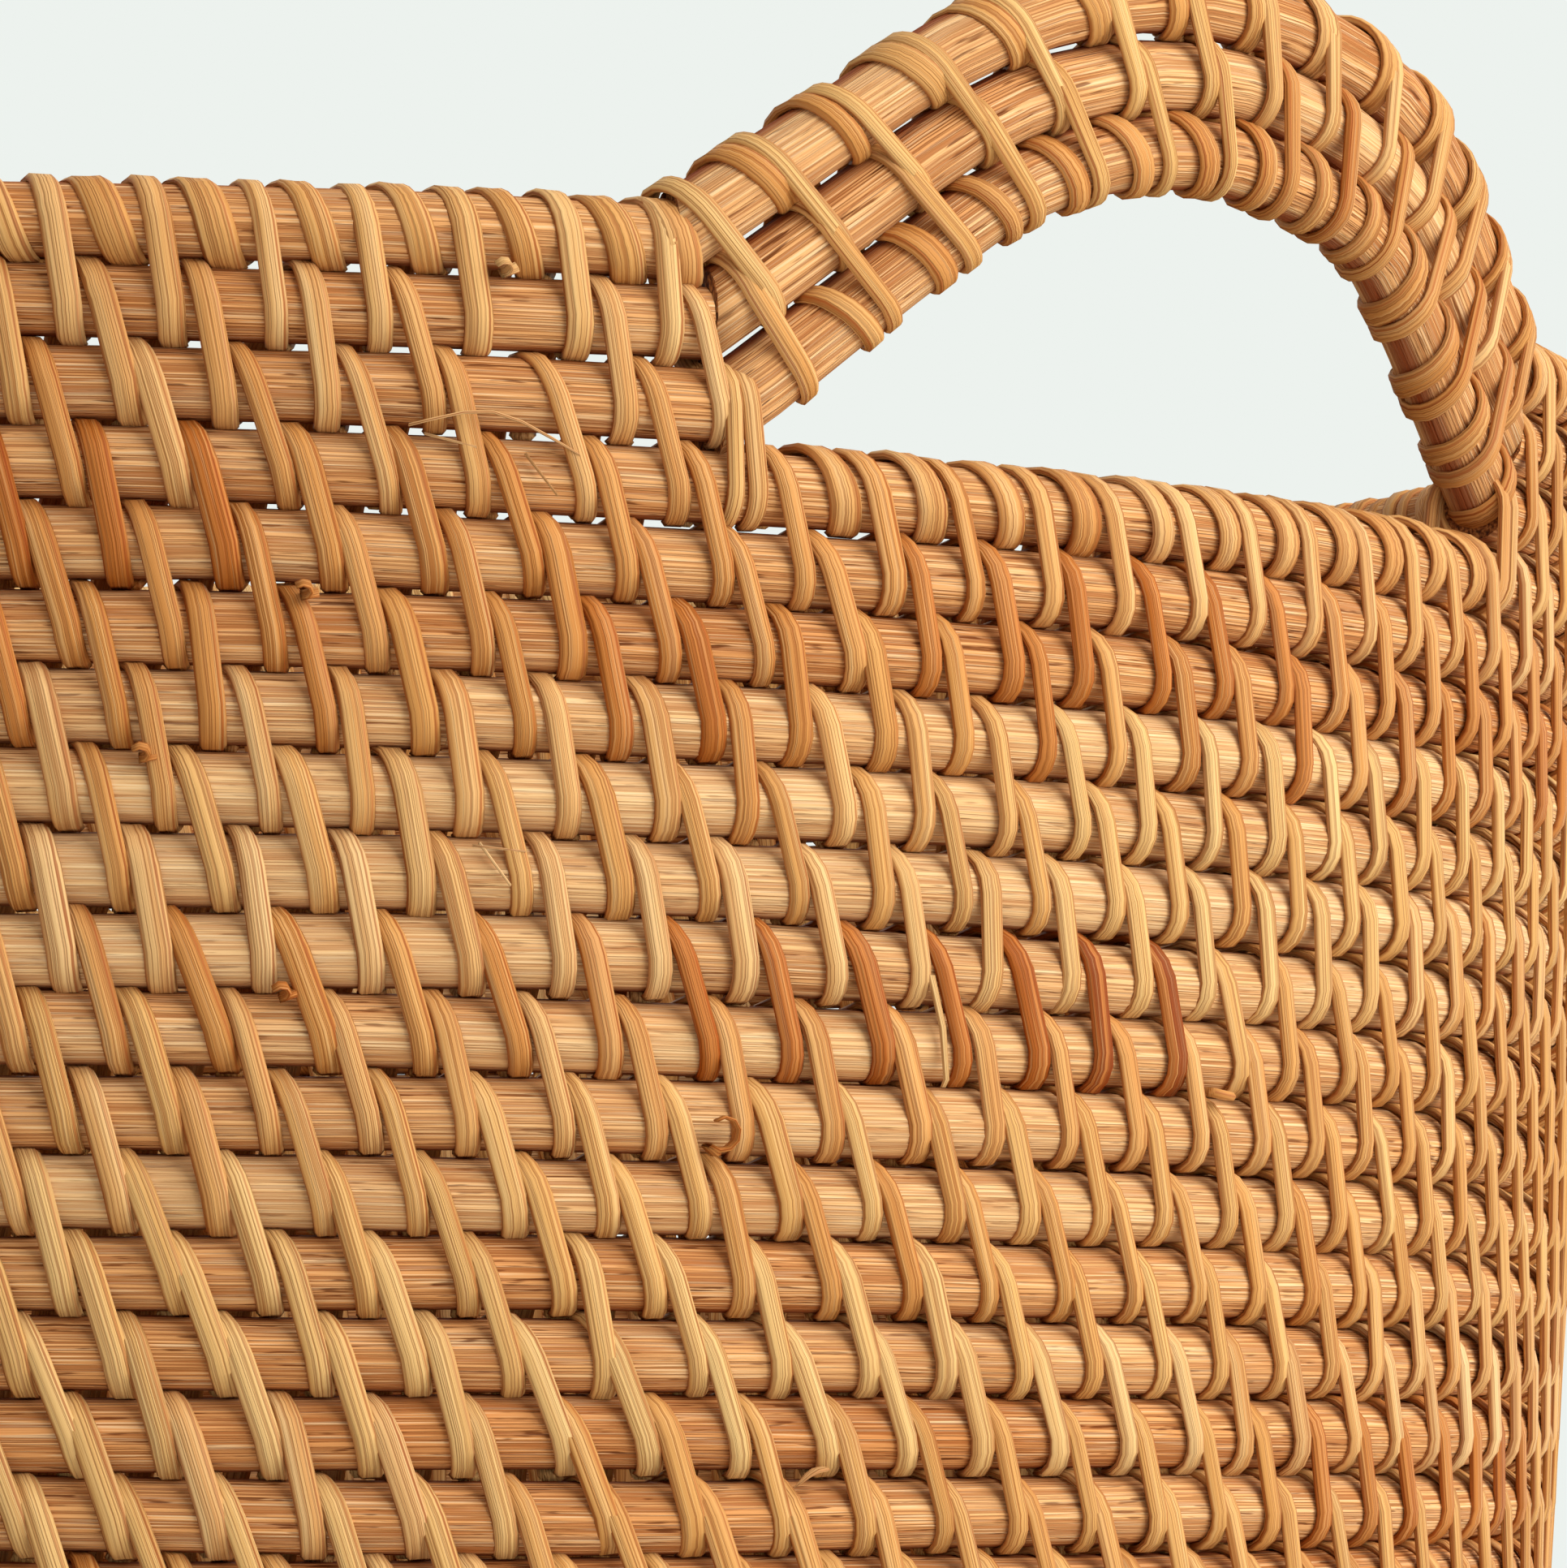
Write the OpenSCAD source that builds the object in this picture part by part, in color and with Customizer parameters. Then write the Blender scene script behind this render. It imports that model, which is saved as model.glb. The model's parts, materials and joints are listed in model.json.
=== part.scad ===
// Round laundry basket of coiled rattan rods, lashed in pairs with flat split cane.
// Two arched handles rise from the rim, each bent from three parallel rods.
// Origin: centre of the underside. +Z is up and the handles are on the X axis.

/* [Rods] */
// Diameter of the round rattan rods
rod_d = 8.7; // [7:0.1:11]
// Room between neighbouring rods, which the cane passes through
rod_gap = 0.8; // [0.7:0.05:1.4]
// Clearance between rod ends that meet
end_gap = 0.3; // [0.2:0.05:0.6]
// Thickness left at the tapered outer end of the base coil
tip_t = 2; // [1:0.1:4]

/* [Body] */
// Outside radius of the rim
rim_r = 223; // [180:1:270]
// Courses of rod from the rim down to the foot hoop
courses = 31; // [20:1:36]
// Lean of the wall inwards on the way down, in degrees
wall_lean = 3.9; // [0:0.1:7]

/* [Handles] */
// Height of a handle above the rim
handle_rise = 37.5; // [33:0.5:50]
// Bend radius of the middle handle rod over the hand hole
handle_bend_r = 84; // [70:1:96]
// Slope of a handle's legs, in degrees
leg_slope = 34; // [30:0.5:38]

/* [Cane lashing] */
// Width of the cane that lashes two rods together
strip_w = 3; // [2.2:0.1:3.4]
// Width of the cane that binds a single edge rod
binding_w = 3.6; // [2.4:0.1:3.8]
// Thickness of the cane
strip_t = 0.45; // [0.3:0.05:0.6]
// Stitches in one turn of the rim
stitches = 114; // [84:6:120]
// Wall rows show one stitch in this many
wall_share = 6; // [6:1:12]
// Stitches in one turn of a base row
base_stitches = 10; // [6:2:12]
// Least distance between stitches along a handle
handle_stitch_l = 12.5; // [12:0.1:16]

/* [Hidden] */
$fn = 64;

// Rods
rod_r = rod_d / 2;
pitch = rod_d + rod_gap;
cut_courses = 3;
handle_rods = ["outer", "middle", "inner"];
handle_sides = ["right", "left"];
rod_colour = "#d9ad77";
cane_colour = "#c58f4e";

// The cane runs midway in the gap, and slants as far as the gap lets it
seat = (rod_gap - strip_t) / 2;
slant_room = 0.02;
strip_slant = asin(2 * (seat - slant_room) / strip_w);
binding_slant = asin(2 * (seat - slant_room) / binding_w);

// Wall surface: h runs up the wall from the rim rod's centre, out runs square to it
foot_z = rod_r + seat + strip_t;
rim_z = foot_z + (courses - 1) * pitch * cos(wall_lean);
rim_rod_r = rim_r - rod_r;
function course_h(k) = -(k - 1) * pitch;
function wall_r(h) = rim_rod_r + h * sin(wall_lean);
function wall_z(h) = rim_z + h * cos(wall_lean);
function degrees_along(s, r) = s / r * 180 / PI;
function wall_point(s, h, out) =
    let (a = degrees_along(s, rim_r), r = wall_r(h) + out * cos(wall_lean))
    [r * cos(a), r * sin(a), wall_z(h) - out * sin(wall_lean)];

// Stations: strips of neighbouring rows lie a third of a stitch apart where they share a rod
stitch_a = 360 / stitches;
slant_s = pitch * tan(strip_slant);
slant_a = degrees_along(slant_s, rim_r);
row_a = stitch_a / 3 + slant_a;
binding_shift = -0.375;

// Handle: u runs along the middle rod from its top, d runs outwards from it
bend_u = handle_bend_r * leg_slope * PI / 180;
foot_lift = rod_r * (1 / cos(leg_slope) - 1);
bend_centre_h = handle_rise - pitch - handle_bend_r;
function rod_offset(i) = (1 - i) * pitch;
function leg_l(i) = (handle_rise - foot_lift
    - (handle_bend_r + rod_offset(i)) * (1 - cos(leg_slope))) / sin(leg_slope);
function handle_turn(u) = max(-leg_slope, min(leg_slope, u / bend_u * leg_slope));
function past_bend(u) = sign(u) * max(0, abs(u) - bend_u);
function handle_s(u, d) =
    (handle_bend_r + d) * sin(handle_turn(u)) + past_bend(u) * cos(leg_slope);
function handle_h(u, d) =
    bend_centre_h + (handle_bend_r + d) * cos(handle_turn(u)) - abs(past_bend(u)) * sin(leg_slope);
function foot_a(i) = degrees_along(handle_s(bend_u + leg_l(i), rod_offset(i)), rim_r);
handle_sides_n = 12;
leg_rings = 5;
bend_rings = 12;
handle_row_shift = 1 / 3 + slant_s / handle_stitch_l;

// Base: the coil is made of half turns, which lose half a pitch each
foot_r = wall_r(course_h(courses));
tightest_r = rod_r * 1.04;
half_turns = floor((foot_r - tightest_r) / (pitch / 2));
function half_turn_r(n) = foot_r - n * pitch / 2;
function half_turn_x(n) = (n % 2 == 1) ? pitch / 2 : 0;
function half_turn_a(n) = (n % 2 == 1) ? 180 : 0;
tip_a = 360 - acos(1 - 2 * (rod_gap + tip_t) / pitch);
function half_turn_sweep(n) = (n == 1) ? tip_a - 180 : 180;
inner_row_r = 3 * strip_w * base_stitches / (2 * PI) * 1.4;
base_stitch_a = 360 / base_stitches;

// ---------- cane ----------

module rounded_slot(r, spacing) {
    square([2 * r, spacing], center = true);
    for (end = [-1, 1])
        translate([0, end * spacing / 2]) circle(r);
}

// One turn of cane round two rods that lie spacing apart along Z and run along Y
module stitch(spacing = pitch, slant = strip_slant) {
    rotate([slant, 0, 0]) rotate([90, 0, 0])
        linear_extrude(strip_w, center = true)
            difference() {
                rounded_slot(rod_r + seat + strip_t, spacing);
                rounded_slot(rod_r + seat, spacing);
            }
}

// One turn of cane round a single rod that runs along Y
module binding() {
    rotate([binding_slant, 0, 0]) rotate([90, 0, 0])
        rotate_extrude()
            translate([rod_r + seat, -binding_w / 2]) square([strip_t, binding_w]);
}

module on_wall(a, h) {
    rotate([0, 0, a]) translate([wall_r(h), 0, wall_z(h)]) rotate([0, wall_lean, 0]) children();
}

module on_handle(u, d) {
    on_wall(degrees_along(handle_s(u, d), rim_r), handle_h(u, d))
        rotate([-handle_turn(u), 0, 0]) children();
}

// ---------- rods ----------

// A closed hoop, whose cut ends butt. The joint moves round by the golden angle from row to row
module wall_hoop(k) {
    r = wall_r(course_h(k));
    color(rod_colour) translate([0, 0, wall_z(course_h(k))]) rotate([0, 0, k * 137.5])
        rotate_extrude(angle = 360 - degrees_along(end_gap, r)) translate([r, 0]) circle(rod_r);
}

// A rim course runs from one handle's foot to the other's
module rim_rod(k, turn) {
    r = wall_r(course_h(k));
    start_a = foot_a(k - 1) + degrees_along(end_gap, r);
    color(rod_colour) translate([0, 0, wall_z(course_h(k))]) rotate([0, 0, turn + start_a])
        rotate_extrude(angle = 180 - 2 * start_a) translate([r, 0]) circle(rod_r);
}

// Each half turn ends where the next begins, and the last one tapers off inside the foot hoop
module base_coil() {
    color(rod_colour) translate([0, 0, foot_z]) difference() {
        for (n = [1:half_turns])
            translate([half_turn_x(n), 0, 0]) rotate([0, 0, half_turn_a(n)])
                rotate_extrude(angle = half_turn_sweep(n))
                    translate([half_turn_r(n), 0]) circle(rod_r);
        difference() {
            cylinder(r = foot_r + pitch, h = 2 * rod_d, center = true);
            cylinder(r = foot_r - rod_r - rod_gap, h = 3 * rod_d, center = true);
        }
    }
}

// Ring of a handle rod. The end rings stand upright, flush with the cut end of the rim rod
function handle_ring(u, d, is_end) =
    let (turn = is_end ? 0 : handle_turn(u), reach = is_end ? rod_r / cos(leg_slope) : rod_r)
    [for (j = [0:handle_sides_n - 1])
        let (b = j * 360 / handle_sides_n, across = reach * cos(b))
        wall_point(handle_s(u, d) + across * sin(turn), handle_h(u, d) + across * cos(turn), rod_r * sin(b))];

function handle_stations(leg) = concat(
    [for (j = [0:leg_rings - 1]) -bend_u - leg * (1 - j / leg_rings)],
    [for (j = [0:bend_rings]) bend_u * (2 * j / bend_rings - 1)],
    [for (j = [1:leg_rings]) bend_u + leg * j / leg_rings]
);

module handle_rod(i, turn) {
    us = handle_stations(leg_l(i));
    last = len(us) - 1;
    n = handle_sides_n;
    points = [for (j = [0:last]) each handle_ring(us[j], rod_offset(i), j == 0 || j == last)];
    sides = [for (j = [0:last - 1]) for (m = [0:n - 1])
        let (a = j * n + m, b = j * n + (m + 1) % n)
        each [[a, a + n, b + n], [a, b + n, b]]];
    ends = [[for (m = [0:n - 1]) m], [for (m = [0:n - 1]) last * n + n - 1 - m]];
    color(rod_colour) rotate([0, 0, turn]) polyhedron(points, concat(sides, ends));
}

// ---------- lashing ----------

// Stations round the wall that lie between from_a and to_a of the nearer handle's middle
module round_wall(h, start_a, from_a = 0, to_a = 90, every = 1) {
    for (i = [0:every:stitches - 1]) {
        a = i * stitch_a + start_a;
        handle_a = 90 - abs(a % 180 - 90);
        if (handle_a >= from_a && handle_a <= to_a) on_wall(a, h) children();
    }
}

function between(k) = (course_h(k) + course_h(k + 1)) / 2;

module rim_lashing() {
    color(cane_colour)
        for (k = [1:cut_courses])
            round_wall(between(k), k * row_a, foot_a(k - 1) + stitch_a / 3) stitch();
}

module rim_binding() {
    color(cane_colour)
        round_wall(course_h(1), row_a + binding_shift * stitch_a, foot_a(0) + stitch_a / 3) binding();
}

// Under each hand hole the first whole hoop is bound by itself
module hand_hole_binding() {
    whole = cut_courses + 1;
    color(cane_colour)
        round_wall(course_h(whole), cut_courses * row_a + slant_a, 0, foot_a(2) - stitch_a / 3) binding();
}

// The wall's rows are shared out over three bands
module wall_lashing(band) {
    rows = courses - 1 - cut_courses;
    first = cut_courses + 1 + round(band * rows / 3);
    last = cut_courses + round((band + 1) * rows / 3);
    color(cane_colour)
        for (k = [first:last])
            round_wall(between(k), k * row_a, every = wall_share) stitch();
}

// Stations along a handle. The outermost ones lie a rod's pitch away from the outer rod's feet
module along_handle(shift, d) {
    reach = bend_u + leg_l(0) - pitch;
    half_n = floor(reach / handle_stitch_l);
    step = reach / half_n;
    for (i = [-half_n:half_n]) {
        u = (i + shift) * step;
        if (abs(u) <= reach + slant_room) on_handle(u, d) children();
    }
}

module handle_lashing(turn) {
    color(cane_colour) rotate([0, 0, turn])
        for (i = [0, 1])
            along_handle(i * handle_row_shift, (rod_offset(i) + rod_offset(i + 1)) / 2) stitch();
}

module handle_binding(turn) {
    color(cane_colour) rotate([0, 0, turn]) {
        along_handle(binding_shift, rod_offset(0)) binding();
        along_handle(handle_row_shift - binding_shift, rod_offset(2)) binding();
    }
}

// A base stitch lies flat and reaches inwards from the outer of its two rods
module flat_stitch(outer_r, spacing) {
    translate([outer_r - spacing / 2, 0, foot_z]) rotate([0, 90, 0]) stitch(spacing);
}

// Distance from the foot hoop to the coil's nearest turn
function edge_spacing(a) =
    a < 180 ? pitch : (a < tip_a ? 1 : 3) * pitch / 2 - cos(a) * pitch / 2;

module base_edge_lashing() {
    n = 3 * base_stitches;
    color(cane_colour)
        for (i = [0:n - 1]) {
            a = (i + 0.5) * 360 / n;
            rotate([0, 0, a]) flat_stitch(foot_r, edge_spacing(a));
        }
}

module base_lashing() {
    color(cane_colour)
        for (n = [2:half_turns - 2])
            if (half_turn_r(n + 2) > inner_row_r)
                for (i = [0:base_stitches / 2 - 1])
                    translate([half_turn_x(n), 0, 0])
                        rotate([0, 0, half_turn_a(n) + (i + 0.15 + floor(n / 2) % 3 / 3) * base_stitch_a])
                            flat_stitch(half_turn_r(n), pitch);
}

for (k = [1:cut_courses]) {
    rim_rod(k, 180);
    rim_rod(k, 0);
}
for (k = [cut_courses + 1:courses - 1])
    wall_hoop(k);
wall_hoop(courses);  // foot_hoop
base_coil();
for (s = [0, 1]) {
    for (i = [0:2])
        handle_rod(i, 180 * s);
    handle_lashing(180 * s);
    handle_binding(180 * s);
}
rim_binding();
hand_hole_binding();
rim_lashing();
wall_lashing(0);  // wall_lashing_upper
wall_lashing(1);  // wall_lashing_middle
wall_lashing(2);  // wall_lashing_lower
base_edge_lashing();
base_lashing();
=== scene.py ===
"""Looks of a round laundry basket: coiled rattan rods, lashed in pairs with split cane.

Every rod and row of cane is made straight, as the basket maker starts with it, and is then
bent round the basket. On a straight piece x runs along the rod, -y points out of the basket
and z runs up the wall. Only the coil in the base keeps the shape that the frame gives it.
"""

import json
from math import atan2, cos, floor, hypot, pi, radians, sin

import bpy
import numpy as np
from mathutils import Matrix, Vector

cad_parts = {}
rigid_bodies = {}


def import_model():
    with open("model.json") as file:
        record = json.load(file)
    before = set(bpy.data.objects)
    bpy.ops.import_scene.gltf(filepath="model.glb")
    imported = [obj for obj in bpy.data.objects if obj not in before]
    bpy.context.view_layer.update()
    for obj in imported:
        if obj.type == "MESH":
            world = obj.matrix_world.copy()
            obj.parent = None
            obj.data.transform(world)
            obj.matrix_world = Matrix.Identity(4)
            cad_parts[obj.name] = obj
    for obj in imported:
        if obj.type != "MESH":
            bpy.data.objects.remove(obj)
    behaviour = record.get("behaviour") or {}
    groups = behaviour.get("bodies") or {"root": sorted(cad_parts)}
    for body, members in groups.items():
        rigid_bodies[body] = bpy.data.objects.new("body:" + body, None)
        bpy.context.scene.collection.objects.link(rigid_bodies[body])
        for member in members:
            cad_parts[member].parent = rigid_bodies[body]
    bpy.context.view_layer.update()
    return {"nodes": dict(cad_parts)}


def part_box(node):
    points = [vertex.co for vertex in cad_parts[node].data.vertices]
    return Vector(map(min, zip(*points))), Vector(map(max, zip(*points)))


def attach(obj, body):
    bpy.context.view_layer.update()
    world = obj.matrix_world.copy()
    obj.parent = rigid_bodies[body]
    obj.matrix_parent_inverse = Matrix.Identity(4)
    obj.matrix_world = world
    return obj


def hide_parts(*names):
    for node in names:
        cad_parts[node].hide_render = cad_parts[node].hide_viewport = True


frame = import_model()
# Every random choice is drawn from here, so the basket comes out the same each time
chance = np.random.default_rng(31)
MM = 0.001

# ---------- sizes, taken from the frame ----------


def hoop_place(course):
    """Radius and height of a hoop's centre line, and the rod's radius."""
    low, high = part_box(f"wall_hoop_{course}")
    rod_r = (high.z - low.z) / 2
    return (high.x - low.x) / 2 - rod_r, (high.z + low.z) / 2, rod_r


COURSES = 31
# The first course that runs all round, under the hand holes, and the lowest wall hoop
WHOLE = 4
LAST = COURSES - 1
top_r, top_z, CAD_ROD_R = hoop_place(WHOLE)
low_r, low_z, _ = hoop_place(LAST)
LEAN = atan2(top_r - low_r, top_z - low_z)
PITCH = hypot(top_r - low_r, top_z - low_z) / (LAST - WHOLE)
# Rods are a little fuller than the frame has them, and handle rods more so
ROD_R = 1.02 * CAD_ROD_R
HANDLE_ROD_R = 1.05 * CAD_ROD_R
RIM_ROD_R = top_r + (WHOLE - 1) * PITCH * sin(LEAN)
RIM_Z = top_z + (WHOLE - 1) * PITCH * cos(LEAN)
RIM_R = RIM_ROD_R + CAD_ROD_R
# Between two sawn ends that butt
END_GAP = 0.1 * MM
CANE_W = 3.15 * MM

# A handle: the slope of its legs, the radius of the bend between them and half its length,
# and how far its outer rod rises above the rim, up the wall
SLOPE = radians(34)
BEND_R = 84 * MM
BEND_U = BEND_R * SLOPE
RISE = (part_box("handle_right_outer")[1].z - CAD_ROD_R - RIM_Z) / cos(LEAN)
# A sloping rod's middle is this much higher at its foot, so its underside meets the rim rod's
FOOT_LIFT = CAD_ROD_R * (1 / cos(SLOPE) - 1)
HANDLE_PITCH = PITCH + 0.12 * MM
# How much nearer a handle's middle than the foot of its leg each rod is joined to its rim rod
CUT_IN = (0.0, 2.4 * MM, 4.4 * MM)
# An inner handle rod runs on by this much past the end of its rim rod
TUCK = (0.0, 0.0, 3.2 * MM)
# The rods fan out by this much each, faster and faster over a stretch towards the left foot
FAN = 1.0 * MM
FAN_FROM = 45 * MM
FAN_TO = 88 * MM
FAN_POWER = 1.5
# A handle's right shoulder is lifted by this much, this far from its middle, over this stretch
SHOULDER = 2.6 * MM
SHOULDER_U = 44 * MM
SHOULDER_L = 20 * MM
# The handles, and how far each is turned from the front, where straight pieces are bent round
HANDLES = (("right", pi / 2), ("left", -pi / 2))

# Stitches in a row, and the angle and length that each has at the rim
STITCHES = 114
STITCH_A = 2 * pi / STITCHES
STITCH_L = RIM_ROD_R * STITCH_A


def wall_r(h):
    """Radius of a rod's centre line, at height h up the leaning wall from the rim rod."""
    return RIM_ROD_R + h * sin(LEAN)


def wall_z(h):
    """Level above the ground, at height h up the leaning wall from the rim rod."""
    return RIM_Z + h * cos(LEAN)


def course_h(course):
    """Height of a course up the leaning wall, which is below the rim rod and so negative."""
    return -(course - 1) * PITCH


def rod_offset(place):
    """How far handle rod 0, 1 or 2 lies outside the middle one."""
    return (1 - place) * HANDLE_PITCH


def leg_length(place):
    """Length of the straight part of a handle rod, from its bend down to a foot."""
    bend_r = BEND_R + rod_offset(place)
    return (RISE - FOOT_LIFT - bend_r * (1 - cos(SLOPE))) / sin(SLOPE)


def foot_s(place):
    """Distance along the rim from a handle's middle to one of its feet."""
    bend_r = BEND_R + rod_offset(place)
    return bend_r * sin(SLOPE) + leg_length(place) * cos(SLOPE) - CUT_IN[place]


# ---------- modelling ----------


def deselect():
    if bpy.context.object and bpy.context.object.mode != "OBJECT":
        bpy.ops.object.mode_set(mode="OBJECT")
    bpy.ops.object.select_all(action="DESELECT")


def take(piece):
    """Makes a piece the only one that is selected."""
    deselect()
    piece.select_set(True)
    bpy.context.view_layer.objects.active = piece


def settle(piece):
    """Applies a piece's modifiers."""
    take(piece)
    for modifier in list(piece.modifiers):
        bpy.ops.object.modifier_apply(modifier=modifier.name)
    return piece


def move(piece, matrix):
    piece.data.transform(matrix)
    piece.data.update()
    return piece


def points(piece):
    co = np.empty(len(piece.data.vertices) * 3)
    piece.data.vertices.foreach_get("co", co)
    return co.reshape(-1, 3)


def write(piece, name, kind, values):
    """Stores a value, or a place, for each point of a piece."""
    layer = piece.data.attributes.get(name) or piece.data.attributes.new(name, kind, "POINT")
    field = "value" if kind == "FLOAT" else "vector"
    layer.data.foreach_set(field, np.asarray(values, np.float32).ravel())
    return piece


def place_points(piece, co):
    piece.data.vertices.foreach_set("co", co.ravel())
    piece.data.update()
    return piece


def stand_flat(piece):
    """Presses what would reach below the ground flat on it."""
    co = points(piece)
    co[:, 2] = np.maximum(co[:, 2], 0)
    return place_points(piece, co)


def join(name, pieces):
    deselect()
    for piece in pieces:
        piece.select_set(True)
    bpy.context.view_layer.objects.active = pieces[0]
    if len(pieces) > 1:
        bpy.ops.object.join()
    pieces[0].name = name
    pieces[0].data.name = name
    return pieces[0]


def bend_round(piece, radius):
    """Bends a straight piece round the basket's axis, its middle at the front."""
    x = points(piece)[:, 0]
    bend = piece.modifiers.new("bend", "SIMPLE_DEFORM")
    bend.deform_method = "BEND"
    bend.deform_axis = "Z"
    bend.angle = (x.max() - x.min()) / radius
    settle(piece)
    return move(piece, Matrix.Translation((0, -radius, 0)))


def arch(piece):
    """Bends the middle of a straight piece over, down at both ends."""
    move(piece, Matrix.Rotation(-pi / 2, 4, "Y"))
    z = points(piece)[:, 2]
    length = z.max() - z.min()
    bend = piece.modifiers.new("arch", "SIMPLE_DEFORM")
    bend.deform_method = "BEND"
    bend.deform_axis = "Y"
    bend.angle = 2 * SLOPE
    bend.limits = ((-BEND_U - z.min()) / length, (BEND_U - z.min()) / length)
    settle(piece)
    return move(piece, Matrix.Rotation(pi / 2, 4, "Y"))


def shape_by_hand(piece):
    """Spreads the rods of a straight handle at its left foot and lifts its right shoulder."""
    co = points(piece)
    co[:, 2] += SHOULDER * np.exp(-(((co[:, 0] - SHOULDER_U) / SHOULDER_L) ** 2))
    near_foot = np.clip((-co[:, 0] - FAN_FROM) / (FAN_TO - FAN_FROM), 0, 1) ** FAN_POWER
    co[:, 2] -= FAN * near_foot * (HANDLE_PITCH - co[:, 2]) / HANDLE_PITCH
    return place_points(piece, co)


def round_handle(piece, turn):
    """Takes an arched piece up above the rim, leans it with the wall and bends it round."""
    move(piece, Matrix.Translation((0, 0, RISE - HANDLE_PITCH)))
    move(piece, Matrix.Rotation(LEAN, 4, "X"))
    move(piece, Matrix.Translation((0, CAD_ROD_R, 0)))
    bend_round(piece, RIM_R)
    return move(piece, Matrix.Rotation(turn, 4, "Z") @ Matrix.Translation((0, 0, RIM_Z)))


def round_wall(piece, h):
    """Bends a straight row round the wall at height h, leaning as the wall leans."""
    move(piece, Matrix.Rotation(LEAN, 4, "X"))
    bend_round(piece, wall_r(h))
    return move(piece, Matrix.Translation((0, 0, wall_z(h))))


# ---------- finishes ----------


class Wire:
    """One output of a shader node, with the sums that the finishes need."""

    def __init__(self, tree, socket=None):
        self.tree = tree
        self.socket = socket

    def node(self, kind, settings=None, inputs=None, output=0):
        """Adds a node: its settings first, then the values or wires of its sockets."""
        made = self.tree.nodes.new(kind)
        for name, value in (settings or {}).items():
            if name == "stops":
                shape_ramp(made.color_ramp, value)
            else:
                setattr(made, name, value)
        for name, value in (inputs or {}).items():
            if isinstance(value, Wire):
                self.tree.links.new(value.socket, made.inputs[name])
            else:
                made.inputs[name].default_value = value
        return Wire(self.tree, made.outputs[output] if made.outputs else None)

    def sum(self, operation, *values):
        return self.node("ShaderNodeMath", {"operation": operation}, dict(enumerate(values)))

    def __add__(self, other):
        return self.sum("ADD", self, other)

    __radd__ = __add__

    def __sub__(self, other):
        return self.sum("SUBTRACT", self, other)

    def __rsub__(self, other):
        return self.sum("SUBTRACT", other, self)

    def __mul__(self, other):
        return self.sum("MULTIPLY", self, other)

    __rmul__ = __mul__

    def stretch(self, x, y, z):
        return self.node("ShaderNodeVectorMath", {"operation": "MULTIPLY"}, {0: self, 1: (x, y, z)})

    def noise(self, x, y, z, detail=2.0, roughness=0.5):
        """Noise that varies x, y and z times in a metre along those directions."""
        sockets = {"Vector": self.stretch(x, y, z), "Scale": 1.0, "Detail": detail, "Roughness": roughness}
        return self.node("ShaderNodeTexNoise", None, sockets)

    def between(self, low, high):
        """0 below low and 1 above high."""
        sockets = {"Value": self, "From Min": low, "From Max": high}
        return self.node("ShaderNodeMapRange", {"interpolation_type": "SMOOTHSTEP"}, sockets)

    def line(self, width):
        """1 along thin lines, where a noise passes its middle value."""
        off = self - 0.5
        return off.sum("ABSOLUTE", off).between(width, 0.0)

    def blend(self, colour, other):
        """This value, from 0 to 1, takes one colour to the other."""
        return self.node("ShaderNodeMix", {"data_type": "RGBA"}, {0: self, 6: colour, 7: other}, 2)

    def ramp(self, *stops):
        return self.node("ShaderNodeValToRGB", {"stops": stops}, {0: self})

    def attribute(self, name, output):
        return self.node("ShaderNodeAttribute", {"attribute_name": name}, output=output)

    def bump(self, strength, distance):
        sockets = {"Strength": strength, "Distance": distance, "Height": self}
        return self.node("ShaderNodeBump", None, sockets, "Normal")


def shape_ramp(ramp, stops):
    while len(ramp.elements) < len(stops):
        ramp.elements.new(0.5)
    for element, (position, colour) in zip(ramp.elements, stops):
        element.position = position
        element.color = colour


def shade(red, green, blue):
    """A colour written as 0 to 255, as a shader takes it."""
    parts = [part / 255 for part in (red, green, blue)]
    linear = [p / 12.92 if p <= 0.04045 else ((p + 0.055) / 1.055) ** 2.4 for p in parts]
    return (*linear, 1.0)


# Scraped rattan, from the palest rod to the darkest, and what lies on it
ROD_COLOURS = (
    (0.1, shade(228, 187, 136)),
    (0.35, shade(229, 184, 128)),
    (0.6, shade(225, 166, 106)),
    (0.85, shade(210, 140, 80)),
)
ROD_STREAK = shade(210, 142, 86)
ROD_BLEACHED = shade(240, 206, 156)
ROD_FIBRE = shade(184, 118, 62)
TORN_FIBRE = shade(242, 216, 172)
GROOVE = shade(140, 66, 16)
DEEP_GROOVE = shade(96, 38, 2)
# Painted shade where a rod lies against the next one
SEAM_SHADE = shade(130, 42, 0)
# End grain, from the wood to its open pores
SAWN_COLOURS = ((0.35, shade(176, 112, 58)), (0.5, shade(128, 72, 32)), (0.65, shade(70, 34, 14)))
# Cane, from the palest strip to the darkest, and what lies on it
CANE_COLOURS = (
    (0.02, shade(228, 187, 130)),
    (0.3, shade(216, 162, 98)),
    (0.52, shade(203, 138, 72)),
    (0.76, shade(174, 95, 30)),
    (0.98, shade(134, 58, 12)),
)
CANE_BAND = shade(186, 115, 50)
CANE_PALE = shade(235, 196, 140)
CANE_GOLDEN = shade(214, 172, 100)
CANE_STREAK = shade(202, 128, 62)
CANE_VEIN = shade(126, 58, 8)
CANE_FIBRE = shade(148, 80, 26)
CANE_SHEEN = shade(236, 194, 132)
# Painted shade along the edges of a strip
CANE_EDGE_SHADE = shade(146, 54, 0)
# How far grooves and fibres stand in and out
RELIEF = 0.4 * MM
ROD_GLOSS = {"Specular IOR Level": 0.06}


def finish_named(name):
    material = bpy.data.materials.new(name)
    material.use_nodes = True
    material.node_tree.nodes.clear()
    return material, Wire(material.node_tree)


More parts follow.
